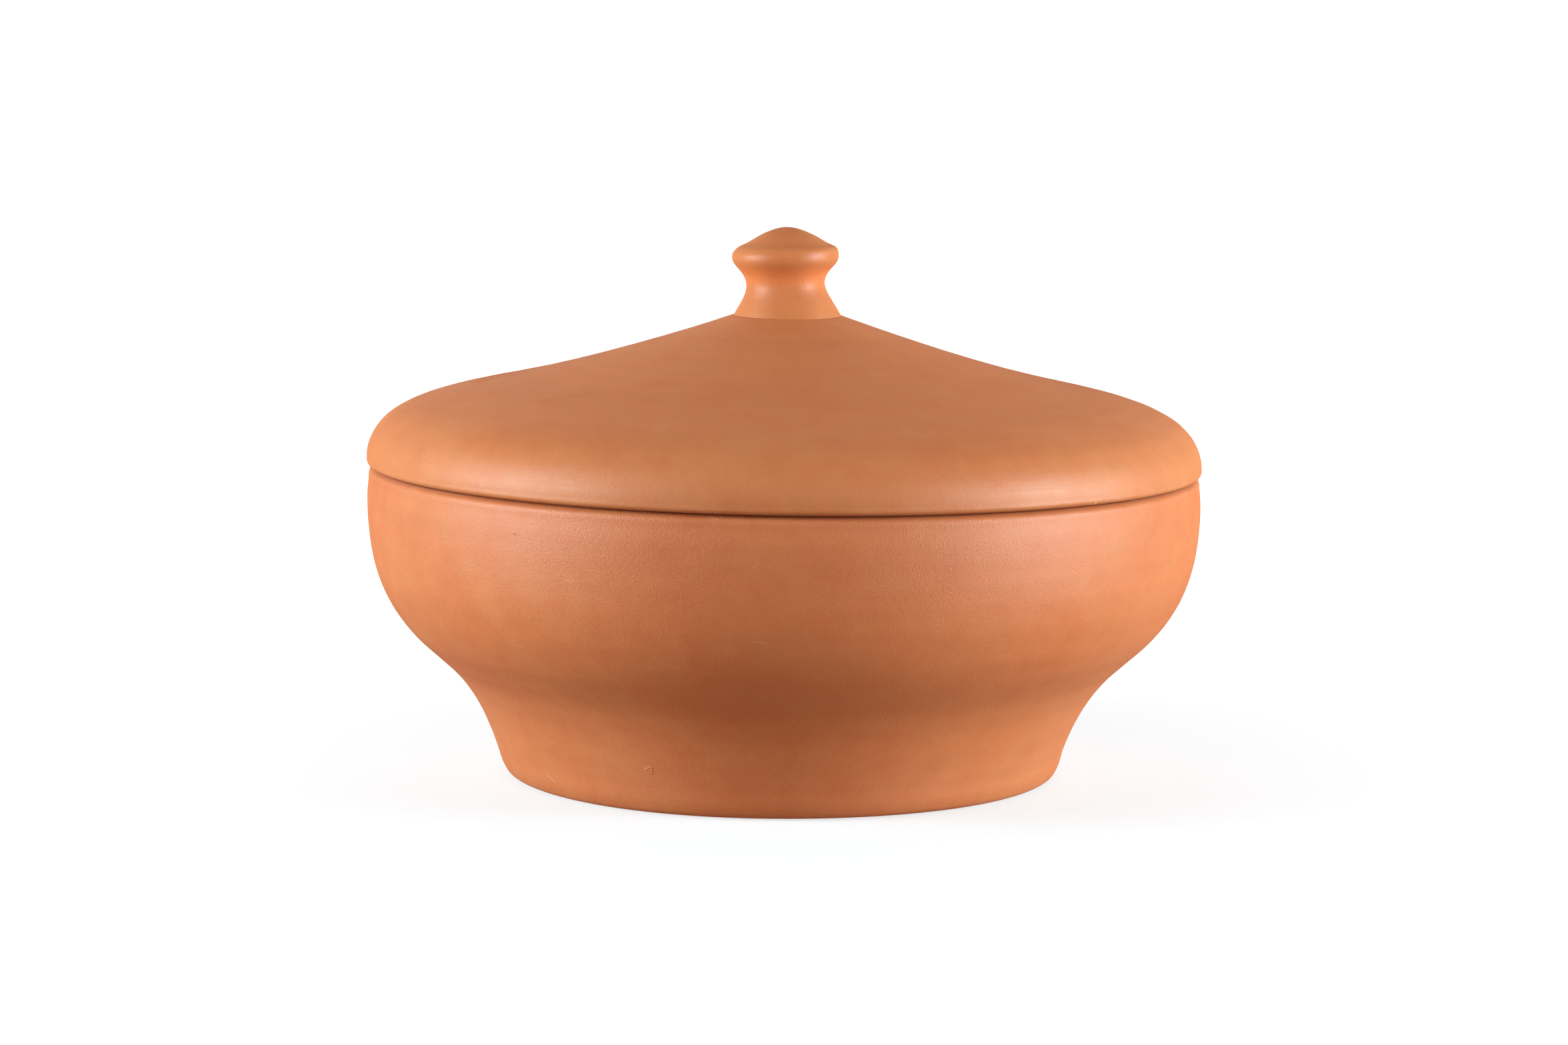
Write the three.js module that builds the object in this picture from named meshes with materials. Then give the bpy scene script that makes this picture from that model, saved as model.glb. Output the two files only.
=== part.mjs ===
// A lidded terracotta cooking pot, in millimetres. It stands on z = 0 with its axis on Z.
//
// It is three pieces of fired clay. The pot is thrown in one with its foot. The lid rests on the pot's
// rim, and a flange under it drops into the mouth. The knob is turned by itself and luted to the lid.
//
// Every piece is round, so each is an outline in (radius, height) swept about Z. An outline is a chain
// of stations, which are points that it passes at a stated heading, and of round corners.

import * as THREE from "three";

// ---- Driving sizes ----

// The pot's outside
const POT_HEIGHT = 103.5; // foot to rim
const BELLY_RADIUS = 140; // the widest place
const BELLY_BELOW_RIM = 9.8;
const RIM_LEAN_IN = 0.5; // how far the rim is drawn in from the belly
const WAIST_RADIUS = 117; // where the belly's curve turns into the foot's
const WAIST_HEIGHT = 41.4;
const WAIST_HEADING = 39;
const FOOT_RADIUS = 93.8; // just above the foot's rounded edge
const FOOT_HEADING = 72;
const FOOT_EDGE_WIDTH = 6;
const FOOT_EDGE_HEIGHT = 3.2;

// The pot's inside and underside
const POT_WALL = 8;
const FLOOR_THICKNESS = 9;
const FLOOR_CORNER = 15; // from the floor's flat to the wall, both ways
const RIM_OUTER_CORNER = 2.5;
const RIM_INNER_CORNER = 1.5;
const FOOT_RING_WIDTH = 12.5; // the flat that the pot stands on
const UNDERSIDE_RECESS = 2;
const UNDERSIDE_BEVEL = 3;

// The lid
const LID_OVERHANG = 0; // the lid's edge past the belly
const LID_EDGE_CORNER = 2.4;
const LID_WALL = 7.5;
const CROWN_HEIGHT = 51.4; // from the rim to the flat under the knob
const CROWN_HEADING = -20;
const SWEEP_RADIUS = 96; // where the crown's hollow curve turns into the shoulder's
const SWEEP_HEIGHT = 28.6; // above the rim
const SWEEP_HEADING = -12;
const FLANGE_CLEARANCE = 1.5; // to the pot's mouth, all round
const FLANGE_DEPTH = 9;
const FLANGE_WALL = 5.5;
const FLANGE_TIP_CORNER = 2;
const FLANGE_BLEND = 14; // how far in from the flange the dome's own inside starts

// The knob
const KNOB_FOOT_RADIUS = 18;
const KNOB_FOOT_HEADING = 118;
const NECK_RADIUS = 13.2;
const NECK_HEIGHT = 10.3; // above the knob's foot
const CAP_RADIUS = 17.9;
const CAP_HEIGHT = 19.6;
const CONE_RADIUS = 12.2; // where the cap's edge has become a cone
const CONE_HEIGHT = 25;
const CONE_HEADING = 149;
const KNOB_HEIGHT = 29.5;

// Facets
const POT_SEGMENTS = 64;
const KNOB_SEGMENTS = 36;
const CURVE_STEPS = 6;
const CORNER_STEPS = 3;

const CLAY = { color: 0xc8774a, roughness: 0.62, metalness: 0 };

// ---- Outlines ----

const QUARTER = Math.PI / 2;
const point = (radius, height) => new THREE.Vector2(radius, height);

// A point that an outline passes. Its heading is in degrees, 0 outwards and 90 up. The shares say how
// much of the distance to the stations before and after it the curve spends keeping to that heading.
function station(radius, height, heading, shareBefore = 0.36, shareAfter = shareBefore) {
  const angle = THREE.MathUtils.degToRad(heading);
  const way = point(Math.cos(angle), Math.sin(angle));
  return { at: point(radius, height), way, shareBefore, shareAfter };
}

// The points of one smooth curve through all the stations.
function smooth(stations, steps = CURVE_STEPS) {
  const path = new THREE.CurvePath();
  for (let i = 1; i < stations.length; i += 1) {
    const [from, to] = [stations[i - 1], stations[i]];
    const distance = from.at.distanceTo(to.at);
    const leaving = from.at.clone().addScaledVector(from.way, from.shareAfter * distance);
    const arriving = to.at.clone().addScaledVector(to.way, -to.shareBefore * distance);
    path.add(new THREE.CubicBezierCurve(from.at, leaving, arriving, to.at));
  }
  return path.getPoints(steps);
}

// A rounded corner, as the arc of a circle from one angle to another.
function corner(centre, size, from, to) {
  return new THREE.ArcCurve(centre.x, centre.y, size, from, to, to < from).getPoints(CORNER_STEPS);
}

// The outline moved sideways by a wall's thickness, to the left of the way that it runs.
function inset(points, thickness) {
  return points.map((p, i) => {
    const before = points[Math.max(i - 1, 0)];
    const after = points[Math.min(i + 1, points.length - 1)];
    const way = after.clone().sub(before).normalize();
    return point(p.x - way.y * thickness, p.y + way.x * thickness);
  });
}

// A round solid from an outline that starts and ends on the axis, running outside first from below.
function turned(name, points, segments) {
  const geometry = new THREE.LatheGeometry(points, segments).rotateX(QUARTER);
  const mesh = new THREE.Mesh(geometry, new THREE.MeshStandardMaterial(CLAY));
  mesh.name = name;
  return mesh;
}

// ---- Sizes that two pieces share ----

const RIM_RADIUS = BELLY_RADIUS - RIM_LEAN_IN;
const MOUTH_RADIUS = RIM_RADIUS - POT_WALL;
const LID_RADIUS = BELLY_RADIUS + LID_OVERHANG;
const CROWN_TOP = POT_HEIGHT + CROWN_HEIGHT;

// ---- Pieces ----

function potBody() {
  const footFlat = FOOT_RADIUS - FOOT_EDGE_WIDTH;
  const recess = footFlat - FOOT_RING_WIDTH;
  const outside = smooth([
    station(FOOT_RADIUS, FOOT_EDGE_HEIGHT, FOOT_HEADING, 0.32),
    station(WAIST_RADIUS, WAIST_HEIGHT, WAIST_HEADING, 0.4),
    station(BELLY_RADIUS, POT_HEIGHT - BELLY_BELOW_RIM, 90, 0.4),
    station(RIM_RADIUS, POT_HEIGHT - RIM_OUTER_CORNER, 90),
  ]);
  const footEdge = smooth(
    [station(footFlat, 0, 0, 0.4), station(FOOT_RADIUS, FOOT_EDGE_HEIGHT, FOOT_HEADING, 0.4)],
    CORNER_STEPS,
  );
  const outerCorner = point(RIM_RADIUS - RIM_OUTER_CORNER, POT_HEIGHT - RIM_OUTER_CORNER);
  const innerCorner = point(MOUTH_RADIUS + RIM_INNER_CORNER, POT_HEIGHT - RIM_INNER_CORNER);
  const wallStart = FLOOR_THICKNESS + FLOOR_CORNER;
  const inside = inset(outside, POT_WALL)
    .filter((p) => p.y > wallStart && p.y < innerCorner.y)
    .reverse();
  const wallFoot = inside[inside.length - 1];
  const floorCorner = smooth([
    station(wallFoot.x, wallFoot.y, FOOT_HEADING - 180, 0.4),
    station(wallFoot.x - FLOOR_CORNER, FLOOR_THICKNESS, 180, 0.4),
  ]);
  return turned(
    "pot_body",
    [
      point(0, UNDERSIDE_RECESS),
      point(recess - UNDERSIDE_BEVEL, UNDERSIDE_RECESS),
      point(recess, 0),
      ...footEdge,
      ...outside.slice(1),
      ...corner(outerCorner, RIM_OUTER_CORNER, 0, QUARTER).slice(1),
      ...corner(innerCorner, RIM_INNER_CORNER, QUARTER, 2 * QUARTER),
      ...inside,
      ...floorCorner.slice(1),
      point(0, FLOOR_THICKNESS),
    ],
    POT_SEGMENTS,
  );
}

function lidShell() {
  const flangeOuter = MOUTH_RADIUS - FLANGE_CLEARANCE;
  const flangeInner = flangeOuter - FLANGE_WALL;
  const flangeTip = POT_HEIGHT - FLANGE_DEPTH;
  const outside = smooth([
    station(LID_RADIUS, POT_HEIGHT + LID_EDGE_CORNER, 90, 0.33),
    station(SWEEP_RADIUS, POT_HEIGHT + SWEEP_HEIGHT, 180 + SWEEP_HEADING, 0.5, 0.31),
    station(KNOB_FOOT_RADIUS, CROWN_TOP, 180 + CROWN_HEADING, 0.3),
  ]);
  const dome = inset(outside, LID_WALL)
    .filter((p) => p.x < flangeInner - FLANGE_BLEND)
    .reverse();
  const domeEdge = dome[dome.length - 1];
  const domeWay = domeEdge.clone().sub(dome[dome.length - 2]);
  const blend = smooth([
    station(domeEdge.x, domeEdge.y, THREE.MathUtils.radToDeg(domeWay.angle()), 0.4),
    station(flangeInner, POT_HEIGHT, -90, 0.4),
  ]);
  const edgeCorner = point(LID_RADIUS - LID_EDGE_CORNER, POT_HEIGHT + LID_EDGE_CORNER);
  const tipInner = point(flangeInner + FLANGE_TIP_CORNER, flangeTip + FLANGE_TIP_CORNER);
  const tipOuter = point(flangeOuter - FLANGE_TIP_CORNER, flangeTip + FLANGE_TIP_CORNER);
  return turned(
    "lid_shell",
    [
      point(0, dome[0].y),
      ...dome,
      ...blend.slice(1),
      ...corner(tipInner, FLANGE_TIP_CORNER, -2 * QUARTER, -QUARTER),
      ...corner(tipOuter, FLANGE_TIP_CORNER, -QUARTER, 0),
      point(flangeOuter, POT_HEIGHT),
      ...corner(edgeCorner, LID_EDGE_CORNER, -QUARTER, 0),
      ...outside.slice(1),
      point(0, CROWN_TOP),
    ],
    POT_SEGMENTS,
  );
}

function lidKnob() {
  const outside = smooth([
    station(KNOB_FOOT_RADIUS, CROWN_TOP, KNOB_FOOT_HEADING, 0.33),
    station(NECK_RADIUS, CROWN_TOP + NECK_HEIGHT, 90, 0.26, 0.45),
    station(CAP_RADIUS, CROWN_TOP + CAP_HEIGHT, 90, 0.31, 0.56),
    station(CONE_RADIUS, CROWN_TOP + CONE_HEIGHT, CONE_HEADING, 0.5, 0.43),
    station(0, CROWN_TOP + KNOB_HEIGHT, 180, 0.25),
  ]);
  return turned("lid_knob", [point(0, CROWN_TOP), ...outside], KNOB_SEGMENTS);
}

const tagine = new THREE.Group();
tagine.add(potBody(), lidShell(), lidKnob());

export default tagine;
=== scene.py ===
# A terracotta tagine pot in a plain studio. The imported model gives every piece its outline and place;
# this script turns those outlines again as fine clay surfaces, with the marks that hands and tools leave.

import math

import bmesh
import bpy
import numpy as np
from mathutils import Matrix, Vector
from mathutils.bvhtree import BVHTree

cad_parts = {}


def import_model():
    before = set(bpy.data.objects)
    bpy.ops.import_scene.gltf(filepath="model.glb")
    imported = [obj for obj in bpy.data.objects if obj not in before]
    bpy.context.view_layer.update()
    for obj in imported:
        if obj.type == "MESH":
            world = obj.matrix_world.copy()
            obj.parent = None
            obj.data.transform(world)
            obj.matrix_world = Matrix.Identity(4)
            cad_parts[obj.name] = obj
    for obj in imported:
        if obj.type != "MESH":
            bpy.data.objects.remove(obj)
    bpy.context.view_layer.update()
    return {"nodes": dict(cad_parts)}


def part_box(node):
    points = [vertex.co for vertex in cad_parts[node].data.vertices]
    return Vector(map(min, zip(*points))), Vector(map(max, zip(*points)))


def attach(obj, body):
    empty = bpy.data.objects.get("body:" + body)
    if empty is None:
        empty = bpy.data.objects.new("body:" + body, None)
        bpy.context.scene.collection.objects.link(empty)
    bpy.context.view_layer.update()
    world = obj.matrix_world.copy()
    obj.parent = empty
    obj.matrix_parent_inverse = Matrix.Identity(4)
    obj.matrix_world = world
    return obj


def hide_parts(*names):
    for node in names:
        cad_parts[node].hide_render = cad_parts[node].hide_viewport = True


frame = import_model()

MM = 0.001
TAU = 2 * math.pi
ON_PLANE = 1e-6  # how close to a plane counts as on it
SAMPLE = 0.15 * MM  # between the points of a smooth outline

RIM_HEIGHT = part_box("pot_body")[1].z
CROWN_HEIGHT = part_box("lid_shell")[1].z
KNOB_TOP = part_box("lid_knob")[1].z


# ---- Outlines ----


def packed_outline(node):
    """The piece's outline as (radius, height) corners, from axis to axis, with the clay on its left."""
    mesh = frame["nodes"][node].data
    links = {}
    for edge in mesh.edges:
        ends = [mesh.vertices[i].co for i in edge.vertices]
        if all(abs(p.y) < ON_PLANE and p.x > -ON_PLANE for p in ends):
            a, b = [(round(p.x, 7), round(p.z, 7)) for p in ends]
            if a != b:
                links.setdefault(a, []).append(b)
                links.setdefault(b, []).append(a)
    here = min(p for p in links if len(set(links[p])) == 1)
    path = [here]
    while here is not None:
        onward = [p for p in links[here] if p not in path]
        here = onward[0] if onward else None
        if here is not None:
            path.append(here)
    corners = np.array(path)
    r, z = corners.T
    area = np.sum(r[:-1] * z[1:] - r[1:] * z[:-1])
    return corners if area > 0 else corners[::-1]


def headings(corners, sharp=math.radians(40)):
    """The unit headings that the outline arrives at and leaves each corner with. A level or plumb stretch
    keeps straight, a sharp corner has two headings, and any other is on the circle of three corners."""
    step = np.diff(corners, axis=0)
    length = np.linalg.norm(step, axis=1)
    chord = step / length[:, None]
    straight = np.abs(step).min(axis=1) < ON_PLANE
    arriving, leaving = [chord[0]], [chord[0]]
    for i in range(1, len(corners) - 1):
        before, after = chord[i - 1], chord[i]
        turn = math.acos(np.clip(before @ after, -1, 1))
        if turn > sharp or (straight[i - 1] and straight[i]):
            arriving.append(before)
            leaving.append(after)
            continue
        if straight[i - 1] or straight[i]:
            along = before if straight[i - 1] else after
        else:
            along = before * length[i] + after * length[i - 1]
            along /= np.linalg.norm(along)
        arriving.append(along)
        leaving.append(along)
    return np.array(arriving + [chord[-1]]), np.array(leaving + [chord[-1]])


def smooth_outline(corners, rounding=0.45 * MM):
    """The outline as closely spaced points on smooth curves, with its corners slightly rounded."""
    arriving, leaving = headings(corners)
    points = []
    for i, (a, b) in enumerate(zip(corners[:-1], corners[1:])):
        length = np.linalg.norm(b - a)
        t = np.linspace(0, 1, max(int(length / SAMPLE), 2), endpoint=False)[:, None]
        points.append(
            (2 * t**3 - 3 * t**2 + 1) * a
            + (t**3 - 2 * t**2 + t) * length * leaving[i]
            + (3 * t**2 - 2 * t**3) * b
            + (t**3 - t**2) * length * arriving[i + 1]
        )
    points = np.vstack(points + [corners[-1:]])
    points = evenly(points, SAMPLE)
    reach = int(3 * rounding / SAMPLE)
    weights = np.exp(-0.5 * (np.arange(-reach, reach + 1) * SAMPLE / rounding) ** 2)
    weights /= weights.sum()
    mirrored = np.vstack([points[reach:0:-1] * (-1, 1), points, points[-2:-reach - 2:-1] * (-1, 1)])
    return np.column_stack([np.convolve(mirrored[:, k], weights, "valid") for k in (0, 1)])


def lengths_along(points):
    """How far along the line each of its points is."""
    return np.concatenate([[0], np.cumsum(np.linalg.norm(np.diff(points, axis=0), axis=1))])


def evenly(points, step):
    """The same line with its points about one step apart."""
    along = lengths_along(points)
    wanted = np.linspace(0, along[-1], int(along[-1] / step) + 1)
    return np.column_stack([np.interp(wanted, along, points[:, k]) for k in (0, 1)])


def thin_out(points, shown, finest=0.4 * MM, hidden=2.6 * MM, plain=1.5 * MM, turn=0.16, near=2 * MM):
    """Fewer points: close together near where the outline bends tightly, so that it turns by no more than
    turn radians between two, and further apart where it doesn't or where it is out of sight."""
    along = lengths_along(points)
    heading = np.unwrap(np.arctan2(np.gradient(points[:, 1]), np.gradient(points[:, 0])))
    bend = np.abs(np.gradient(heading, along)) + 1e-6
    step = np.clip(turn / bend, finest, np.where(shown, plain, hidden))
    reach = int(near / (along[1] - along[0]))
    step = np.array([step[max(i - reach, 0):i + reach].min() for i in range(len(step))])
    count = np.concatenate([[0], np.cumsum(np.diff(along) / step[1:])])
    wanted = np.linspace(0, count[-1], int(count[-1]) + 2)
    return np.column_stack([np.interp(wanted, count, points[:, k]) for k in (0, 1)])


# ---- Hand-made shape ----

# (height, shift): how far to the right the rings' centres stand at some heights, in mm
DRIFT = [(0, -0.2), (9, -0.4), (42, 0.42), (75, 0.14), (104, 0.2), (135, 0.1), (152, 1.0), (158, 0.85),
         (171, -0.35), (175, 0.0), (181, 0.9), (184, 0.75)]
RIM_TILT = math.radians(0.45)  # the rim and lid are this much lower on the right
TILT_START = 45 * MM
AXIS_CALM = 6 * MM  # relief fades out this close to the axis


def smooth_step(low, high, value):
    """From 0 at low to 1 at high."""
    t = np.clip((value - low) / (high - low), 0, 1)
    return t * t * (3 - 2 * t)


def smooth_steps(stations, value):
    """The value of a curve that is level at each of its stations, and eases from one to the next."""
    result = np.full_like(value, stations[0][1])
    for (low, was), (high, now) in zip(stations[:-1], stations[1:]):
        result += (now - was) * smooth_step(low, high, value)
    return result


def lean(co):
    """Leans turned points, in place, as the real pot does."""
    height = co[:, 2].copy()
    tilt = math.tan(RIM_TILT) * smooth_step(TILT_START, RIM_HEIGHT, height)
    co[:, 2] -= co[:, 0] * tilt
    co[:, 0] += smooth_steps(DRIFT, height / MM) * MM


def wobble(arc, angle, seed, size, waves=(2, 3, 4, 5), pitch=90 * MM):
    """A slow unevenness of the turned wall, in metres along its normal."""
    random = np.random.default_rng(seed)
    total = 0
    for n in waves:
        phase, drift, share = random.uniform(0, TAU), random.uniform(0, TAU), random.uniform(0.5, 1) / n
        total = total + share * np.sin(n * angle + phase) * np.cos(TAU * arc / pitch + drift + 0.7 * n)
    return size * total


def turning_rings(arc, angle, seed, pitch, size):
    """A spiral of shallow ridges, one turn every pitch, that fades in and out along the outline."""
    random = np.random.default_rng(seed)
    total = 0
    for k in range(3):
        stretch = pitch * (1 + 0.37 * k)
        phase = random.uniform(0, TAU)
        fade = 0.6 + 0.4 * np.sin(TAU * arc / (11.3 * pitch) + random.uniform(0, TAU))
        sway = 0.4 * np.sin(2 * angle + phase)
        total = total + fade * np.sin(TAU * arc / stretch - angle + phase + sway) / (k + 1)
    return size * total / 1.8


def bump(value, middle, reach):
    """1 at the middle, which falls away to about a third at the reach."""
    return np.exp(-(((value - middle) / reach) ** 2))


def shaved(arc, corner_arc, angle):
    """How much is rubbed off the seat's outer corner, which leaves a thin dark gap under the lid. It is
    most at the front."""
    return (0.25 + 0.12 * np.cos(angle)) * MM * bump(arc, corner_arc, 1.6 * MM)


# ---- Turned pieces ----

SEGMENTS, KNOB_SEGMENTS = 320, 240
BLUNT, SHARP = 40, 300  # an edge starts to show wear at the first bend per metre, and is full at the other


def bends(points, along, spread=0.8 * MM):
    """How sharply the outline turns outwards at each point, per metre, eased over the spread."""
    heading = np.unwrap(np.arctan2(np.gradient(points[:, 1]), np.gradient(points[:, 0])))
    bend = np.gradient(heading, along)
    weights = np.exp(-0.5 * ((along[:, None] - along[None, :]) / spread) ** 2) * np.gradient(along)
    return weights @ bend / weights.sum(axis=1)


def float_attribute(mesh, name, values):
    values = np.asarray(values, dtype=np.float32)
    mesh.attributes.new(name, "FLOAT", "POINT").data.foreach_set("value", values)


def turned_piece(name, points, relief, segments=SEGMENTS):
    """A turned solid. relief(arc, angle, radius, height) gives how far its clay stands out of the outline.
    Each vertex also knows its arc, which is the way along the outline to it, and how much of an edge it
    is on."""
    along = lengths_along(points)
    heading = np.gradient(points, along, axis=0)
    heading /= np.linalg.norm(heading, axis=1)[:, None]
    outwards = np.column_stack([heading[:, 1], -heading[:, 0]])
    ring = points[1:-1]
    angle = np.linspace(0, TAU, segments, endpoint=False)[None, :] + np.zeros((len(ring), 1))
    arc = along[1:-1, None] + np.zeros_like(angle)
    radius = ring[:, 0, None] + np.zeros_like(angle)
    height = ring[:, 1, None] + np.zeros_like(angle)
    stand = relief(arc, angle, radius, height) * smooth_step(0, AXIS_CALM, radius)
    r = radius + stand * outwards[1:-1, 0, None]
    z = height + stand * outwards[1:-1, 1, None]
    co = np.stack([r * np.sin(angle), -r * np.cos(angle), z], axis=-1).reshape(-1, 3)
    poles = np.array([[0, 0, points[0, 1]], [0, 0, points[-1, 1]]])
    co = np.vstack([co, poles])
    lean(co)

    rows = len(ring)
    here = np.arange(segments)
    onward = (here + 1) % segments
    faces = []
    for i in range(rows - 1):
        a, b = i * segments, (i + 1) * segments
        faces += np.column_stack([a + here, a + onward, b + onward, b + here]).tolist()
    first, last = rows * segments, rows * segments + 1
    top = (rows - 1) * segments
    faces += np.column_stack([np.full(segments, first), onward, here]).tolist()
    faces += np.column_stack([np.full(segments, last), top + here, top + onward]).tolist()

    mesh = bpy.data.meshes.new(name)
    mesh.from_pydata(co.tolist(), [], faces)
    bend = bends(points, along)
    edge = smooth_step(BLUNT, SHARP, bend)
    float_attribute(mesh, "arc", np.concatenate([arc.ravel(), along[[0, -1]]]))
    float_attribute(mesh, "edge", np.concatenate([np.repeat(edge[1:-1], segments), edge[[0, -1]]]))
    float_attribute(mesh, "broken", np.zeros(len(co)))
    mesh.shade_smooth()
    piece = bpy.data.objects.new(name, mesh)
    bpy.context.scene.collection.objects.link(piece)
    return piece


def pot():
    corners = packed_outline("pot_body")
    fine = smooth_outline(corners)
    rim = fine[:, 1].argmax()
    outside = np.arange(len(fine)) < rim
    points = thin_out(fine, outside)
    along = lengths_along(points)
    rim_arc = along[points[:, 1].argmax()]
    seat_corner = along[points[:, 1] > RIM_HEIGHT - 0.2 * MM].min()
    recess = corners[:, 0][corners[:, 1] < ON_PLANE].min()  # its edge, where the foot's flat starts

    def relief(arc, angle, radius, height):
        inside = smooth_step(rim_arc, rim_arc + 8 * MM, arc)
        seat = bump(arc, rim_arc, 6 * MM)
        slow = wobble(arc, angle, seed=11, size=0.12 * MM)
        outer = turning_rings(arc, angle, seed=12, pitch=7.5 * MM, size=0.028 * MM)
        swirl = 1 + 1.4 * bump(radius, 0, 34 * MM)
        inner = turning_rings(arc, angle, seed=13, pitch=6.2 * MM, size=0.22 * MM) * swirl
        trimmed = turning_rings(arc, angle, seed=14, pitch=3.6 * MM, size=0.12 * MM)
        under = 1 - smooth_step(recess - 8 * MM, recess - 3 * MM, arc)
        shaped = trimmed * under + outer * (1 - under) * (1 - inside) + inner * inside
        return (slow + shaped) * (1 - seat) - shaved(arc, seat_corner, angle)

    return turned_piece("pot", points, relief)


LID_SHAVED = 0.7  # of what is rubbed off the pot's corner


def filled(arc, middle_arc):
    """How much fuller the lid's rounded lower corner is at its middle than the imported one."""
    return 0.32 * MM * bump(arc, middle_arc, 1.1 * MM)


def creased(corners, i, reach=0.4 * MM):
    """The outline with its corner i kept crisp, by one more corner close before it."""
    way = corners[i - 1] - corners[i]
    return np.insert(corners, i, corners[i] + way * reach / np.linalg.norm(way), axis=0)


def lid():
    corners = packed_outline("lid_shell")
    knob_seat = len(corners) - 2  # the corner where the flat under the knob ends
    fine = smooth_outline(creased(corners, knob_seat))
    edge_start = fine[:, 0].argmax() - int(6 * MM / SAMPLE)
    outside = np.arange(len(fine)) > edge_start
    points = thin_out(fine, outside)
    along = lengths_along(points)
    edge_arc = along[points[:, 0].argmax()]
    on_seat = (np.abs(points[:, 1] - RIM_HEIGHT) < 0.2 * MM) & (along < edge_arc)
    seat_corner = along[on_seat].max()

    def relief(arc, angle, radius, height):
        outer = smooth_step(edge_arc - 2 * MM, edge_arc + 4 * MM, arc)
        inner = 1 - smooth_step(edge_arc - 40 * MM, edge_arc - 26 * MM, arc)
        slow = wobble(arc, angle, seed=21, size=0.12 * MM)
        top = turning_rings(arc, angle, seed=22, pitch=8.5 * MM, size=0.03 * MM)
        under = turning_rings(arc, angle, seed=23, pitch=6.8 * MM, size=0.2 * MM)
        corner = filled(arc, (seat_corner + edge_arc) / 2) - LID_SHAVED * shaved(arc, seat_corner, angle)
        return slow * (outer + inner) + top * outer + under * inner + corner

    return turned_piece("lid", points, relief)


SUNK = 0.5 * MM  # how far the knob's foot was pressed into the lid's soft clay
SHOULDER = CROWN_HEIGHT + 22.6 * MM  # where the knob's cap turns into its cone
THUMBED = 0.75 * MM  # how far a thumb flattened the cap's shoulder on the left
THUMB_REACH = 1.9 * MM


def knob():
    corners = packed_outline("lid_knob")
    corners[:2, 1] -= SUNK
    corners[1, 0] += SUNK / 2
    fine = smooth_outline(corners, rounding=0.25 * MM)
    points = thin_out(fine, True, finest=0.3 * MM, plain=0.7 * MM)

    def relief(arc, angle, radius, height):
        above = smooth_step(CROWN_HEIGHT, CROWN_HEIGHT + 4 * MM, height)
        leftward = (0.5 - 0.5 * np.sin(angle)) ** 2
        thumbed = THUMBED * leftward * bump(height, SHOULDER, THUMB_REACH)
        slow = wobble(arc, angle, seed=31, size=0.08 * MM)
        rings = turning_rings(arc, angle, seed=32, pitch=3.4 * MM, size=0.02 * MM)
        return (slow + rings) * above - thumbed

    return turned_piece("knob", points, relief, segments=KNOB_SEGMENTS)


# ---- Marks in the clay ----

# Small accidents of making and use, each at a turn in degrees from the front towards the right and at a
# height in mm. Those in the first four lists are worked into the clay, and have a size in mm too.
CHIPS = [(44.8, 103.9, 0.6), (47.1, 104.2, 0.6), (48.9, 104.4, 0.8), (-118, 105.2, 0.8), (163, 104.2, 0.6)]
PIPS = [(-36.9, 94.6, 1.0), (71, 58, 0.9), (-148, 81, 1.1)]
RINGED_PIPS = [(-25.3, 15.4, 1.5)]
RING_MARKS = [(-18.4, 121.0, 1.8), (152, 116, 1.6)]

# Those in the next two run from one place to another, and only change the clay's colour. They have a
# width in mm and a strength: paler where it is above 0, else darker.
POT_SCRATCHES = [
    (-3.2, 90.6, -3.7, 86.6, 0.35, 0.45),
    (-9.2, 102.8, -8.4, 102.5, 0.8, 0.35),
    (-4.0, 64.3, -2.2, 63.7, 1.1, 0.25),
    (-52.8, 7.9, -50.9, 6.3, 0.9, 0.4),
    (-14.5, 66.2, -13.6, 65.9, 0.5, 0.3),
    (118, 72, 121, 66, 0.4, 0.35),
    (-160, 60, -152, 63, 0.5, 0.25),
]
LID_SCRATCHES = [
    (45.7, 110.4, 46.0, 106.6, 0.3, -0.35),
    (38.0, 112.6, 45.4, 110.5, 0.3, -0.3),
    (-131, 118, -124, 121, 0.5, 0.25),
]


def touch(tree, turn, height):
    """The place on a piece's outside at a turn in degrees and a height in mm, and the clay's normal."""
    angle = math.radians(turn)
    level = Vector((math.sin(angle), -math.cos(angle), 0))
    place, normal, _, _ = tree.ray_cast(level + Vector((0, 0, height * MM)), -level)
    return place, normal


# Each shape gives how far the clay stands out, as a share of the mark's size, and how bare it is, at
# shares of that size away from the mark's middle.


def chip(across):
    return -0.38 * np.clip(1 - across**2, 0, None), np.clip(2.5 - 2.5 * across, 0, 1)


def pip(across):
    return 0.13 * np.clip(1 - across**2, 0, None) ** 2, np.zeros_like(across)


def ringed_pip(across):
    ring = bump(across, 0.7, 0.2)
    middle = bump(across, 0, 0.22)
    return 0.09 * ring + 0.08 * middle, np.zeros_like(across)


def ring_mark(across):
    return 0.035 * bump(across, 0.75, 0.16), np.zeros_like(across)


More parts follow.
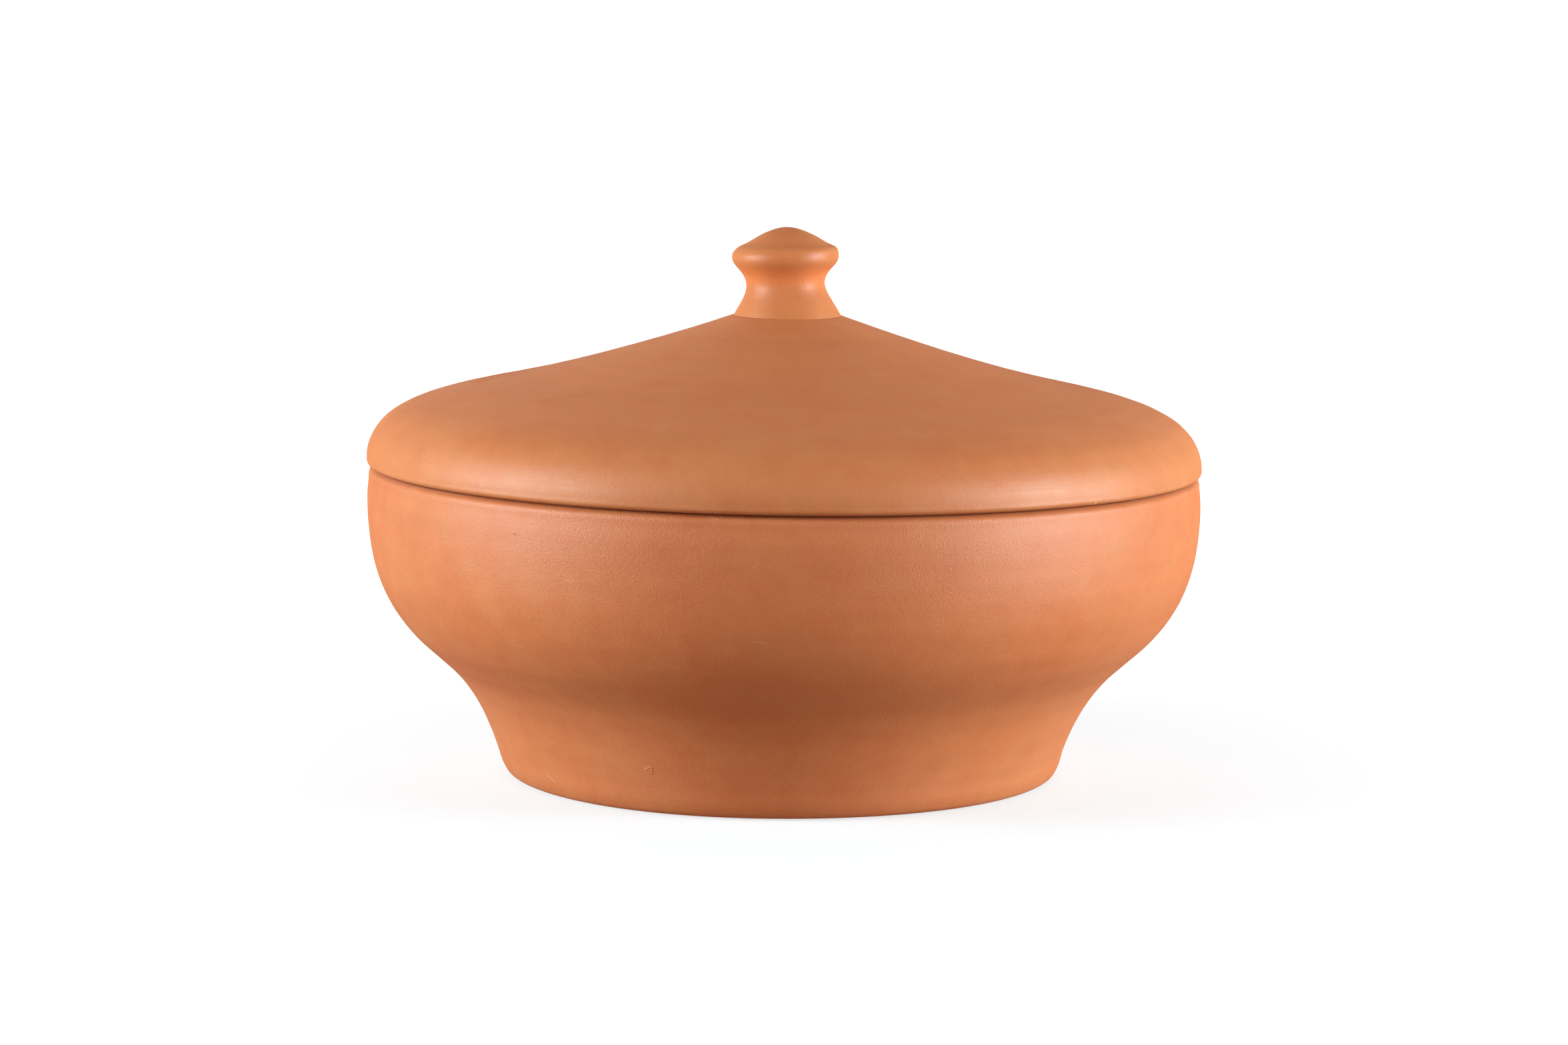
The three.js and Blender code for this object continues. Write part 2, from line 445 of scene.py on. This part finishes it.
def work_in(piece, marks, shape, seed):
    """Works small marks into a piece, whose mesh is made fine enough around each."""
    random = np.random.default_rng(seed)
    bm = bmesh.new()
    bm.from_mesh(piece.data)
    broken = bm.verts.layers.float["broken"]
    for turn, height, size in marks:
        middle, normal = touch(BVHTree.FromBMesh(bm), turn, height)
        reach = 1.3 * size * MM
        for margin in (1.6 * MM, 0.3 * MM):
            near = [f for f in bm.faces if (f.calc_center_median() - middle).length < reach + margin]
            edges = list({edge for face in near for edge in face.edges})
            bmesh.ops.subdivide_edges(bm, edges=edges, cuts=3, use_grid_fill=True)
        verts = [v for v in bm.verts if (v.co - middle).length < reach]
        side = normal.cross(Vector((0, 0, 1))).normalized()
        offsets = [v.co - middle for v in verts]
        along = np.array([o.dot(side) for o in offsets])
        away = np.array([(o - o.dot(side) * side).length * math.copysign(1, o.z) for o in offsets])
        ragged = 1 + 0.14 * np.sin(3 * np.arctan2(away, along) + random.uniform(0, TAU))
        stand, bare = shape(np.hypot(along, away) / (size * MM) * ragged)
        for vert, out, share in zip(verts, stand, bare):
            vert.co += normal * float(out) * size * MM
            vert[broken] = float(share)
    bm.to_mesh(piece.data)
    bm.free()


# ---- Clay ----

POT_CLAY = (0.449, 0.1545, 0.0575)
LID_CLAY = (0.434, 0.158, 0.0560)
KNOB_CLAY = (0.453, 0.163, 0.0585)
REDDER = (0.985, 0.93, 0.91)
YELLOWER = (1.01, 1.07, 1.09)
RUBBED = (1.12, 1.5, 2.2)  # where edges have worn
UNDER_CAP_PAINTED_LIGHT = (1.22, 1.13, 1.08)  # painted bounce light: the knob is made lighter under its cap, where light thrown back from the lid and neck falls
BROKEN = (1.2, 2.1, 4.0)  # where chips have bared the clay
PALE_GRIT = (1.2, 2.1, 3.8)
DARK_GRIT = (0.5, 0.42, 0.5)
NECK, CAP = CROWN_HEIGHT / MM + 8, CROWN_HEIGHT / MM + 18  # the painted bounce light's lower and upper ends, in mm
SLANT = (0.3, 0.3, -0.28)  # how far the wrinkles lean sideways and stretch upwards with height
ELSEWHERE = (71, 13, 29)  # keeps the dark grit from lying where the pale grit does
MIX_SHARE, MIX_A, MIX_B, MIX_RESULT = 0, 6, 7, 2  # a colour Mix node's sockets


class Nodes:
    """A material's nodes. Each call adds one and returns its output, and lengths are in mm."""

    def __init__(self, tree):
        self.tree = tree

    def add(self, kind, result, inputs=(), **settings):
        node = self.tree.nodes.new("ShaderNode" + kind)
        for name, value in settings.items():
            setattr(node, name, value)
        for socket, value in inputs:
            self.feed(node.inputs[socket], value)
        return node.outputs[result]

    def feed(self, socket, value):
        if isinstance(value, bpy.types.NodeSocket):
            self.tree.links.new(value, socket)
        else:
            socket.default_value = value

    def maths(self, operation, a, b=0.0):
        return self.add("Math", 0, [(0, a), (1, b)], operation=operation)

    def product(self, first, *others):
        for other in others:
            first = self.maths("MULTIPLY", first, other)
        return first

    def total(self, first, *others):
        for other in others:
            first = self.maths("ADD", first, other)
        return first

    def vector(self, operation, a, b):
        return self.add("VectorMath", 0, [(0, a), (1, b)], operation=operation)

    def measure(self, operation, a, b=(0, 0, 0)):
        return self.add("VectorMath", 1, [(0, a), (1, b)], operation=operation)

    def attribute(self, name):
        return self.add("Attribute", "Fac", attribute_name=name)

    def noise(self, where, size, detail=2.0, roughness=0.5, distortion=0.0):
        """Noise about zero, mostly within a quarter either way. Its size is that of its lumps."""
        inputs = [("Vector", where), ("Scale", 1 / size), ("Detail", detail), ("Roughness", roughness)]
        inputs.append(("Distortion", distortion))
        return self.maths("SUBTRACT", self.add("TexNoise", 0, inputs), 0.5)

    def ease(self, value, low, high):
        """From 0 at low to 1 at high."""
        inputs = [("Value", value), ("From Min", low), ("From Max", high)]
        return self.add("MapRange", 0, inputs, interpolation_type="SMOOTHSTEP")

    def tint(self, colour, share, by):
        """The colour, changed towards its product with another by a share."""
        return self.mix(share, colour, (*by, 1), "MULTIPLY")

    def mix(self, share, first, second, blend="MIX"):
        inputs = [(MIX_SHARE, share), (MIX_A, first), (MIX_B, second)]
        return self.add("Mix", MIX_RESULT, inputs, data_type="RGBA", blend_type=blend)


def grit(nodes, place, spacing, size, share):
    """Where there are specks: in a share of the cells of a random lattice, each of its own size."""
    inputs = [("Vector", place), ("Scale", 1 / spacing)]
    cell = nodes.add("TexVoronoi", "Color", inputs)
    away = nodes.add("TexVoronoi", "Distance", inputs)
    picked = nodes.add("SeparateColor", 0, [(0, cell)])
    own_size = nodes.ease(picked, 1 - share, 1.0)
    reach = nodes.product(own_size, size / spacing)
    return nodes.maths("GREATER_THAN", reach, away)


def scratch(nodes, place, start, end, width, breakup):
    """1 on the line from start to end and 0 beyond about half its width, with a broken edge."""
    way = end - start
    offset = nodes.vector("SUBTRACT", place, tuple(start))
    share = nodes.product(nodes.measure("DOT_PRODUCT", offset, tuple(way)), 1 / way.length_squared)
    share = nodes.maths("MINIMUM", nodes.maths("MAXIMUM", share, 0.0), 1.0)
    along = nodes.vector("MULTIPLY", nodes.add("CombineXYZ", 0, [(k, share) for k in range(3)]), tuple(way))
    away = nodes.measure("LENGTH", nodes.vector("SUBTRACT", offset, along))
    away = nodes.total(away, nodes.product(breakup, 1.6 * width))
    return nodes.ease(away, 0.6 * width, 0.15 * width)


def clay(name, seed, colour, gloss, roughness, wrinkled, lined, worn, under_cap_light=0.0, scratches=()):
    """Fired clay. wrinkled is (height, height, size): where its wrinkles start and are full, in mm, and
    how much they stand out. lined is how plainly the turning's lines show, worn its edges' wear, and the
    under-cap light how strongly a painted bounce light makes it lighter between the knob's neck and cap. It
    is rougher where it is seen at a grazing angle, so that a light beyond it doesn't wash its outline out."""
    material = bpy.data.materials.new(name)
    material.use_nodes = True
    nodes = Nodes(material.node_tree)
    shader = material.node_tree.nodes["Principled BSDF"]

    place = nodes.vector("MULTIPLY", nodes.add("TexCoord", "Object"), (1 / MM, 1 / MM, 1 / MM))
    height = nodes.add("SeparateXYZ", 2, [(0, place)])
    pattern = nodes.vector("ADD", place, tuple(np.random.default_rng(seed).uniform(300, 900, 3)))
    arc = nodes.product(nodes.attribute("arc"), 1 / MM)
    lift = nodes.add("CombineXYZ", 0, [(2, arc)])

    def turned(around, across):
        """Places that change fast across the turning's lines and slowly along them."""
        level = nodes.vector("MULTIPLY", pattern, (1 / around, 1 / around, 0))
        return nodes.vector("ADD", level, nodes.vector("MULTIPLY", lift, (0, 0, 1 / across)))

    broad = nodes.noise(pattern, size=55)
    firing = nodes.total(nodes.product(broad, 0.6), nodes.noise(pattern, size=13, detail=3, roughness=0.6))
    cloud = nodes.noise(pattern, size=9, detail=4, roughness=0.6)
    patches = nodes.ease(nodes.noise(pattern, size=26), -0.08, 0.16)
    bands = nodes.noise(turned(around=160, across=7), size=1)
    lines = nodes.noise(turned(around=45, across=0.9), size=1, detail=3, roughness=0.65)
    grain = nodes.noise(pattern, size=0.42, detail=3, roughness=0.65)
    sand = nodes.noise(pattern, size=1.6, detail=3, roughness=0.6)

    slant = nodes.vector("MULTIPLY", nodes.add("CombineXYZ", 0, [(k, height) for k in range(3)]), SLANT)
    wrinkles = nodes.noise(nodes.vector("ADD", pattern, slant), size=0.45, detail=3, distortion=0.35)
    low, high, depth = wrinkled
    wrinkly = nodes.product(nodes.ease(height, low, high), depth)
    pale_grit = grit(nodes, pattern, spacing=3.4, size=0.26, share=0.16)
    shifted = nodes.vector("ADD", pattern, ELSEWHERE)
    dark_grit = grit(nodes, shifted, spacing=4.6, size=0.24, share=0.14)
    wear = nodes.ease(nodes.total(nodes.attribute("edge"), nodes.product(cloud, 2.2)), 0.35, 1.25)
    broken = nodes.attribute("broken")

    # What each layer adds: shares of the colour's brightness, then roughness, then mm of relief
    shade = nodes.total(
        1.0,
        nodes.product(cloud, 0.13),
        nodes.product(bands, 0.12),
        nodes.product(lines, 0.1 * lined, patches),
        nodes.product(grain, 0.34),
        nodes.product(sand, 0.1),
    )
    tone = nodes.tint((*colour, 1), nodes.ease(firing, 0.0, -0.2), REDDER)
    tone = nodes.tint(tone, nodes.ease(firing, 0.0, 0.2), YELLOWER)
    tone = nodes.vector("MULTIPLY", tone, shade)
    # Painted bounce light: the clay is made lighter between the knob's neck and cap, where light thrown
    # back from the lid falls under the cap.
    if under_cap_light:
        band = nodes.product(nodes.ease(height, NECK, NECK + 5), nodes.ease(height, CAP, CAP - 3))
        tone = nodes.tint(tone, nodes.product(band, under_cap_light), UNDER_CAP_PAINTED_LIGHT)
    tone = nodes.tint(tone, nodes.product(wear, worn), RUBBED)
    tone = nodes.tint(tone, nodes.product(pale_grit, 0.5), PALE_GRIT)
    tone = nodes.tint(tone, nodes.product(dark_grit, 0.5), DARK_GRIT)
    tone = nodes.tint(tone, nodes.product(broken, 0.95), BROKEN)
    for start, end, width, strength in scratches:
        mark = scratch(nodes, place, start, end, width, cloud)
        grit_tone = PALE_GRIT if strength > 0 else DARK_GRIT
        tone = nodes.tint(tone, nodes.product(mark, abs(strength)), grit_tone)

    grazing = nodes.ease(nodes.add("LayerWeight", "Facing", [("Blend", 0.5)]), 0.5, 0.9)
    rough = nodes.total(
        roughness,
        nodes.product(grazing, 0.45),
        nodes.product(cloud, 0.25),
        nodes.product(lines, 0.3 * lined, patches),
        nodes.product(wear, -0.06),
        nodes.product(broken, 0.3),
    )
    relief = nodes.total(
        nodes.product(grain, 0.07),
        nodes.product(sand, 0.045),
        nodes.product(wrinkles, wrinkly),
        nodes.product(lines, 0.06 * lined, patches),
        nodes.product(pale_grit, -0.03),
    )
    normal = nodes.add("Bump", 0, [("Height", relief), ("Distance", MM), ("Strength", 1.0)])
    nodes.feed(shader.inputs["Base Color"], tone)
    nodes.feed(shader.inputs["Roughness"], rough)
    nodes.feed(shader.inputs["Normal"], normal)
    shader.inputs["Specular IOR Level"].default_value = gloss
    return material


def ends_on(piece, scratches):
    """The scratches with their ends as places on the piece, in mm."""
    bm = bmesh.new()
    bm.from_mesh(piece.data)
    tree = BVHTree.FromBMesh(bm)
    bm.free()
    return [
        (touch(tree, *mark[0:2])[0] / MM, touch(tree, *mark[2:4])[0] / MM, *mark[4:])
        for mark in scratches
    ]


# ---- Studio ----

CAMERA_BACK = 1490 * MM
CAMERA_HEIGHT = 268.9 * MM
CAMERA_PITCH = math.radians(7.05)  # downwards
CAMERA_YAW = math.radians(-0.01)
CAMERA_ROLL = math.radians(0.45)
CAMERA_LENS = 102.1
FLOOR_DROP = -0.15 * MM  # below the foot, whose clay isn't perfectly level
SOFTBOX_COLOUR = (0.95, 1, 1)
FLOOR_COLOUR = (0.26, 0.31, 0.34)  # cool, which makes the warm light on it neutral
SHADED = 0.3  # how much less the floor glows round the foot
SHADE_START, SHADE_END = 0.12, 0.6  # metres from the axis, where that is full and gone


def camera():
    data = bpy.data.cameras.new("camera")
    data.lens = CAMERA_LENS
    data.sensor_width = 36
    data.clip_end = 50
    view = bpy.data.objects.new("camera", data)
    bpy.context.scene.collection.objects.link(view)
    view.matrix_world = (
        Matrix.Translation((0, -CAMERA_BACK, CAMERA_HEIGHT))
        @ Matrix.Rotation(CAMERA_YAW, 4, "Z")
        @ Matrix.Rotation(math.pi / 2 - CAMERA_PITCH, 4, "X")
        @ Matrix.Rotation(CAMERA_ROLL, 4, "Z")
    )
    bpy.context.scene.camera = view


def softbox(name, turn, height, width, tall, watts, gloss=True, distance=1400 * MM):
    """A rectangular light, at a turn in degrees from the front towards the right, aimed at the pot. One
    with no gloss only fills in, and makes no highlight."""
    data = bpy.data.lights.new(name, "AREA")
    data.shape = "RECTANGLE"
    data.size, data.size_y = width, tall
    data.energy = watts
    data.color = SOFTBOX_COLOUR
    lamp = bpy.data.objects.new(name, data)
    bpy.context.scene.collection.objects.link(lamp)
    angle = math.radians(turn)
    lamp.location = (distance * math.sin(angle), -distance * math.cos(angle), height)
    middle = Vector((0, 0, KNOB_TOP / 2))
    lamp.rotation_euler = (middle - lamp.location).to_track_quat("-Z", "Y").to_euler()
    lamp.visible_camera = False
    lamp.visible_glossy = gloss


def backdrop(floor_radius=5, dome_radius=7, steps=48, rise_steps=16):
    """A pale floor that curves up into a dome. It glows, less so round the foot, where the pot's faint
    shadow shows. It sends no light back onto the pot, which is lit by the softboxes and the world."""
    profile = [(0, 0), (floor_radius, 0)]
    for k in range(1, rise_steps + 1):
        angle = math.pi / 2 * k / rise_steps
        swell = (dome_radius - floor_radius) * math.sin(2 * angle)
        profile.append((floor_radius * math.cos(angle) + swell, dome_radius * math.sin(angle)))
    bm = bmesh.new()
    verts = [bm.verts.new((r, 0, z)) for r, z in profile]
    edges = [bm.edges.new(pair) for pair in zip(verts[:-1], verts[1:])]
    bmesh.ops.spin(bm, geom=verts + edges, axis=(0, 0, 1), cent=(0, 0, 0), angle=TAU, steps=steps)
    bmesh.ops.remove_doubles(bm, verts=bm.verts, dist=0.1 * MM)
    mesh = bpy.data.meshes.new("backdrop")
    bm.to_mesh(mesh)
    bm.free()
    mesh.shade_smooth()
    shell = bpy.data.objects.new("backdrop", mesh)
    bpy.context.scene.collection.objects.link(shell)
    shell.location.z = FLOOR_DROP
    shell.visible_diffuse = False
    shell.visible_glossy = False
    shell.visible_shadow = False
    material = bpy.data.materials.new("backdrop")
    material.use_nodes = True
    shader = material.node_tree.nodes["Principled BSDF"]
    shader.inputs["Base Color"].default_value = (*FLOOR_COLOUR, 1)
    shader.inputs["Roughness"].default_value = 1
    shader.inputs["Specular IOR Level"].default_value = 0
    shader.inputs["Emission Color"].default_value = (1, 1, 1, 1)
    nodes = Nodes(material.node_tree)
    away = nodes.measure("LENGTH", nodes.add("TexCoord", "Object"))
    lit = nodes.ease(away, SHADE_START, SHADE_END)
    glow = nodes.total(1 - SHADED, nodes.product(lit, SHADED))
    nodes.feed(shader.inputs["Emission Strength"], glow)
    mesh.materials.append(material)


def world(strength, below, above):
    """Even light from all round, which passes from one colour below to another above."""
    sky = bpy.data.worlds.new("world")
    sky.use_nodes = True
    nodes = Nodes(sky.node_tree)
    up = nodes.add("SeparateXYZ", 2, [(0, nodes.add("TexCoord", "Generated"))])
    colour = nodes.mix(nodes.ease(up, -0.5, 0.6), (*below, 1), (*above, 1))
    background = sky.node_tree.nodes["Background"]
    nodes.feed(background.inputs["Color"], colour)
    background.inputs["Strength"].default_value = strength
    bpy.context.scene.world = sky


# ---- The scene ----

bpy.context.scene.view_settings.view_transform = "Standard"
camera()
backdrop()
world(strength=0.385, below=(1, 0.55, 0.36), above=(1.13, 0.72, 0.57))
softbox("left", turn=-72.7, height=0.39, width=0.57, tall=0.89, watts=33.5)
softbox("right", turn=73.4, height=0.276, width=0.57, tall=0.89, watts=34.8)
softbox("back", turn=180, height=0.5, width=1.4, tall=0.9, watts=16, gloss=False)

pot_piece = pot()
work_in(pot_piece, PIPS, pip, 41)
work_in(pot_piece, RINGED_PIPS, ringed_pip, 42)
lid_piece = lid()
work_in(lid_piece, CHIPS, chip, 43)
work_in(lid_piece, RING_MARKS, ring_mark, 44)
knob_piece = knob()

pot_clay = clay("thrown_clay", seed=51, colour=POT_CLAY, gloss=0.42, roughness=0.5,
                wrinkled=(34, 100, 0.12), lined=0.7, worn=0.12,
                scratches=ends_on(pot_piece, POT_SCRATCHES))
lid_clay = clay("lid_thrown_clay", seed=52, colour=LID_CLAY, gloss=0.45, roughness=0.5,
                wrinkled=(150, 104, 0.03), lined=1.1, worn=0.12,
                scratches=ends_on(lid_piece, LID_SCRATCHES))
# The knob's clay carries the painted bounce light under its cap.
knob_clay = clay("turned_clay", seed=53, colour=KNOB_CLAY, gloss=0.3, roughness=0.45,
                 wrinkled=(150, 151, 0.03), lined=0.6, worn=0.05, under_cap_light=1.0)

for piece, node, body, slot, finish in (
    (pot_piece, "pot_body", "pot", "pot_clay", pot_clay),
    (lid_piece, "lid_shell", "lid", "lid_clay", lid_clay),
    (knob_piece, "lid_knob", "lid", "knob_clay", knob_clay),
):
    piece.data.materials.append(finish)
    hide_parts(node)
    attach(piece, body)
